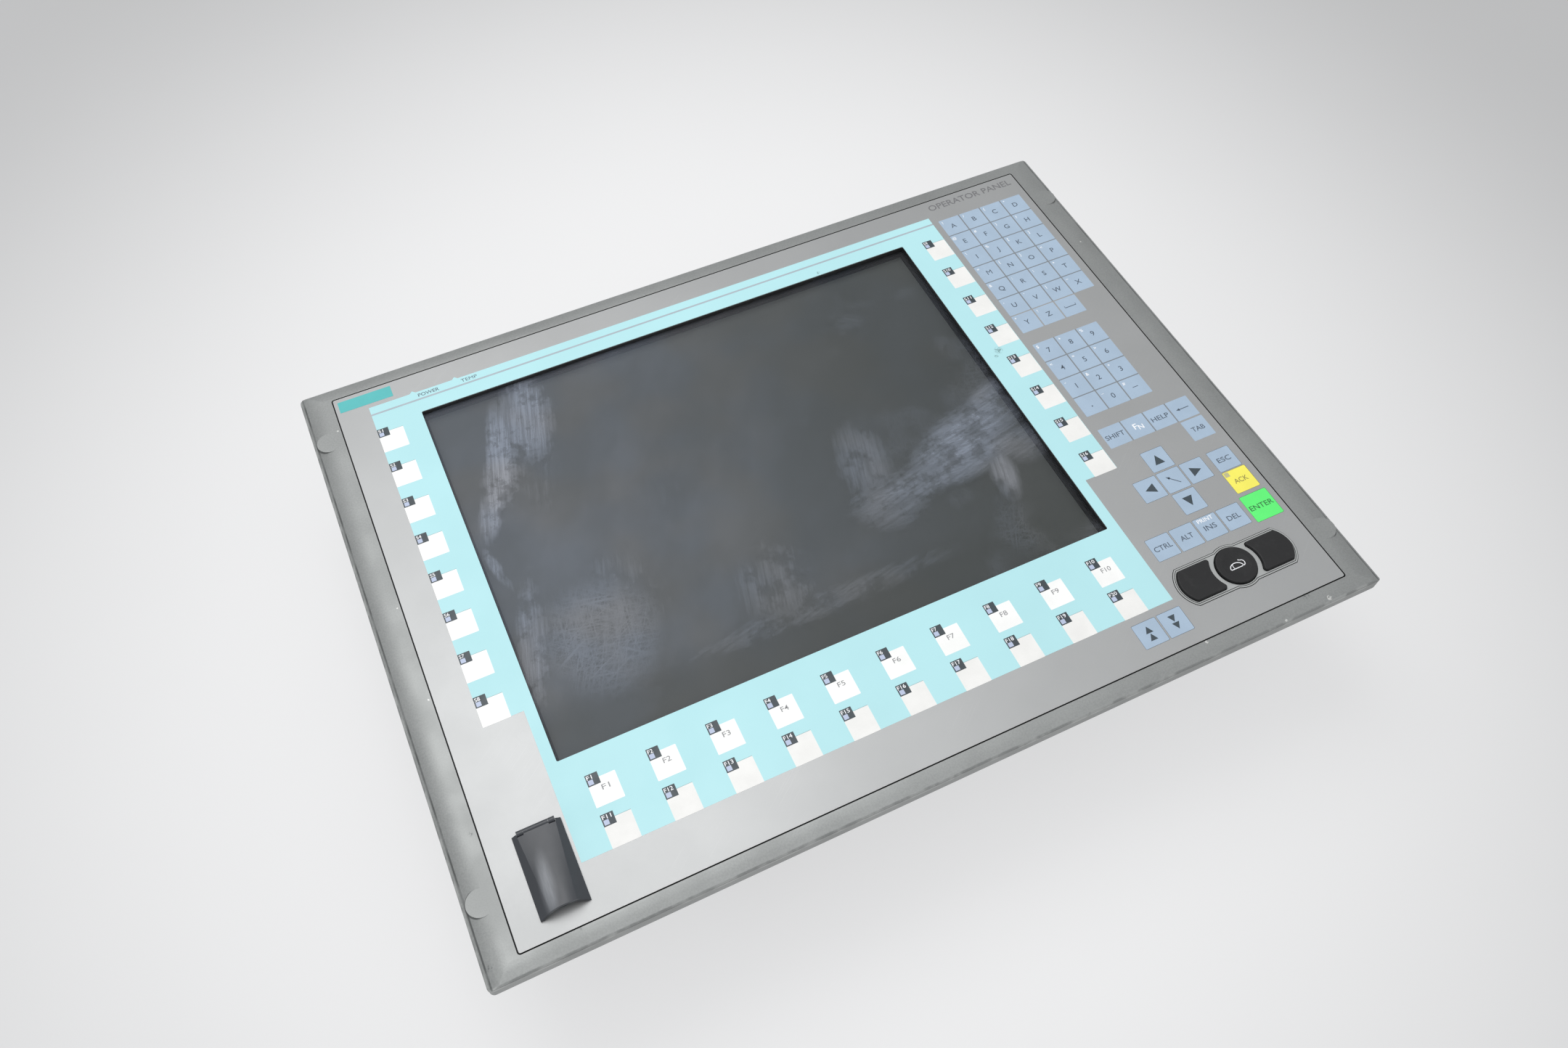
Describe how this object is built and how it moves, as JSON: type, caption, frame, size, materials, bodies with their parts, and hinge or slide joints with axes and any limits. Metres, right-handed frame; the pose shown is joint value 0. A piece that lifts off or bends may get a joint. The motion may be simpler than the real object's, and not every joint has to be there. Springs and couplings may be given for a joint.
{
  "type": "operator panel computer",
  "caption": "Rack-width operator panel with a recessed display, membrane keys, a pointing stick with two buttons, a hinged port cover and a computer unit behind.",
  "frame": {"origin": "middle of the rear cover's outer face, on which the panel lies", "axes": "+X along the long side to the right, +Y up the panel, +Z out of its face"},
  "size_m": [0.483, 0.355, 0.1074],
  "materials": {
    "frame_paint": "fine textured grey paint",
    "foil_grey": "matt silver-grey foil",
    "plate_aluminium": "milled",
    "seal_rubber": "matt",
    "dome_steel": "sprung, bright",
    "circuit_board": "solder mask",
    "label_white": "printed film",
    "key_blue": "matt",
    "key_yellow": "matt",
    "key_green": "matt",
    "bezel_grey": "satin",
    "button_black": "satin",
    "gimbal_plastic": "satin",
    "cover_dark": "satin gloss",
    "pin_steel": "bright",
    "socket_metal": "tinned",
    "light_guide_clear": "clear",
    "pane_glass": "smudged",
    "lcd_metal": "satin",
    "lcd_cell": "dark polariser",
    "lamp_glass": "frosted",
    "zinc_sheet": "zinc plated",
    "pillar_brass": "turned",
    "screw_steel": "zinc plated",
    "heatsink_aluminium": "extruded",
    "fan_black": "moulded",
    "disk_casting": "cast and lidded",
    "inlet_black": "moulded",
    "rocker_black": "polished"
  },
  "bodies": {
    "root": {"backlight_lamps": "lamp_glass", "carrier_pillars": "pillar_brass", "computer_chassis": "zinc_sheet", "cover_screws": "screw_steel", "disk_bracket": "zinc_sheet", "display_carrier": "zinc_sheet", "display_pane": "pane_glass", "fan_frame": "fan_black", "front_frame": "frame_paint", "front_plate": "plate_aluminium", "hard_disk": "disk_casting", "heatsink": "heatsink_aluminium", "housing_screws": "screw_steel", "inverter_board": "circuit_board", "key_domes": "dome_steel", "keypad_board": "circuit_board", "keypad_foil": "foil_grey", "lan_sockets": "socket_metal", "lcd_bezel": "lcd_metal", "lcd_glass": "lcd_cell", "light_guide": "light_guide_clear", "mainboard": "circuit_board", "mounting_gasket": "seal_rubber", "operator_housing": "zinc_sheet", "pane_gasket": "seal_rubber", "pointer_bezel": "bezel_grey", "power_inlet": "inlet_black", "power_led": "light_guide_clear", "power_supply": "zinc_sheet", "rear_cover": "zinc_sheet", "row_label_strips": "label_white", "serial_socket": "socket_metal", "side_label_strips": "label_white", "temp_led": "light_guide_clear", "usb_hinge_pin": "pin_steel", "usb_port_housing": "cover_dark", "usb_socket_front": "socket_metal", "usb_sockets_rear": "socket_metal", "video_socket": "socket_metal"},
    "usb_cover": {"usb_cover": "cover_dark"},
    "stick_gimbal": {"stick_gimbal": "gimbal_plastic"},
    "pointer_stick": {"pointer_stick": "button_black"},
    "pointer_button_left": {"pointer_button_left": "button_black"},
    "pointer_button_right": {"pointer_button_right": "button_black"},
    "fan_rotor": {"fan_rotor": "fan_black"},
    "power_rocker": {"power_rocker": "rocker_black"},
    "key_ack": {"key_ack": "key_yellow"},
    "key_alt": {"key_alt": "key_blue"},
    "key_ctrl": {"key_ctrl": "key_blue"},
    "key_del": {"key_del": "key_blue"},
    "key_down": {"key_down": "key_blue"},
    "key_enter": {"key_enter": "key_green"},
    "key_esc": {"key_esc": "key_blue"},
    "key_home": {"key_home": "key_blue"},
    "key_ins": {"key_ins": "key_blue"},
    "key_left": {"key_left": "key_blue"},
    "key_page_down": {"key_page_down": "key_blue"},
    "key_page_up": {"key_page_up": "key_blue"},
    "key_right": {"key_right": "key_blue"},
    "key_up": {"key_up": "key_blue"}
  },
  "joints": [
    {"name": "usb_cover_hinge", "type": "hinge", "parent": "root", "child": "usb_cover", "pos_m": [-0.1992, -0.1181, 0.1018], "axis": [-1, 0, 0], "range_deg": [0, 100]},
    {"name": "stick_tilt_x", "type": "hinge", "parent": "root", "child": "stick_gimbal", "pos_m": [0.1761, -0.1394, 0.097], "axis": [1, 0, 0], "range_deg": [-3, 3], "stiffness_Nm_per_rad": 0.4},
    {"name": "stick_tilt_y", "type": "hinge", "parent": "stick_gimbal", "child": "pointer_stick", "pos_m": [0.1761, -0.1394, 0.097], "axis": [0, 1, 0], "range_deg": [-3, 3], "stiffness_Nm_per_rad": 0.4},
    {"name": "pointer_left_press", "type": "slide", "parent": "root", "child": "pointer_button_left", "axis": [0, 0, 1], "range_m": [-0.0008, 0], "stiffness_N_per_m": 900},
    {"name": "pointer_right_press", "type": "slide", "parent": "root", "child": "pointer_button_right", "axis": [0, 0, 1], "range_m": [-0.0008, 0], "stiffness_N_per_m": 900},
    {"name": "fan_spin", "type": "hinge", "parent": "root", "child": "fan_rotor", "pos_m": [0.1405, 0.07, 0.0242], "axis": [1, 0, 0], "continuous": true},
    {"name": "power_switch", "type": "hinge", "parent": "root", "child": "power_rocker", "pos_m": [-0.082, -0.131, 0.022], "axis": [1, 0, 0], "range_deg": [-18, 0]},
    {"name": "key_ack_press", "type": "slide", "parent": "root", "child": "key_ack", "axis": [0, 0, 1], "range_m": [-0.0005, 0], "stiffness_N_per_m": 1500},
    {"name": "key_alt_press", "type": "slide", "parent": "root", "child": "key_alt", "axis": [0, 0, 1], "range_m": [-0.0005, 0], "stiffness_N_per_m": 1500},
    {"name": "key_ctrl_press", "type": "slide", "parent": "root", "child": "key_ctrl", "axis": [0, 0, 1], "range_m": [-0.0005, 0], "stiffness_N_per_m": 1500},
    {"name": "key_del_press", "type": "slide", "parent": "root", "child": "key_del", "axis": [0, 0, 1], "range_m": [-0.0005, 0], "stiffness_N_per_m": 1500},
    {"name": "key_down_press", "type": "slide", "parent": "root", "child": "key_down", "axis": [0, 0, 1], "range_m": [-0.0005, 0], "stiffness_N_per_m": 1500},
    {"name": "key_enter_press", "type": "slide", "parent": "root", "child": "key_enter", "axis": [0, 0, 1], "range_m": [-0.0005, 0], "stiffness_N_per_m": 1500},
    {"name": "key_esc_press", "type": "slide", "parent": "root", "child": "key_esc", "axis": [0, 0, 1], "range_m": [-0.0005, 0], "stiffness_N_per_m": 1500},
    {"name": "key_home_press", "type": "slide", "parent": "root", "child": "key_home", "axis": [0, 0, 1], "range_m": [-0.0005, 0], "stiffness_N_per_m": 1500},
    {"name": "key_ins_press", "type": "slide", "parent": "root", "child": "key_ins", "axis": [0, 0, 1], "range_m": [-0.0005, 0], "stiffness_N_per_m": 1500},
    {"name": "key_left_press", "type": "slide", "parent": "root", "child": "key_left", "axis": [0, 0, 1], "range_m": [-0.0005, 0], "stiffness_N_per_m": 1500},
    {"name": "key_page_down_press", "type": "slide", "parent": "root", "child": "key_page_down", "axis": [0, 0, 1], "range_m": [-0.0005, 0], "stiffness_N_per_m": 1500},
    {"name": "key_page_up_press", "type": "slide", "parent": "root", "child": "key_page_up", "axis": [0, 0, 1], "range_m": [-0.0005, 0], "stiffness_N_per_m": 1500},
    {"name": "key_right_press", "type": "slide", "parent": "root", "child": "key_right", "axis": [0, 0, 1], "range_m": [-0.0005, 0], "stiffness_N_per_m": 1500},
    {"name": "key_up_press", "type": "slide", "parent": "root", "child": "key_up", "axis": [0, 0, 1], "range_m": [-0.0005, 0], "stiffness_N_per_m": 1500}
  ]
}
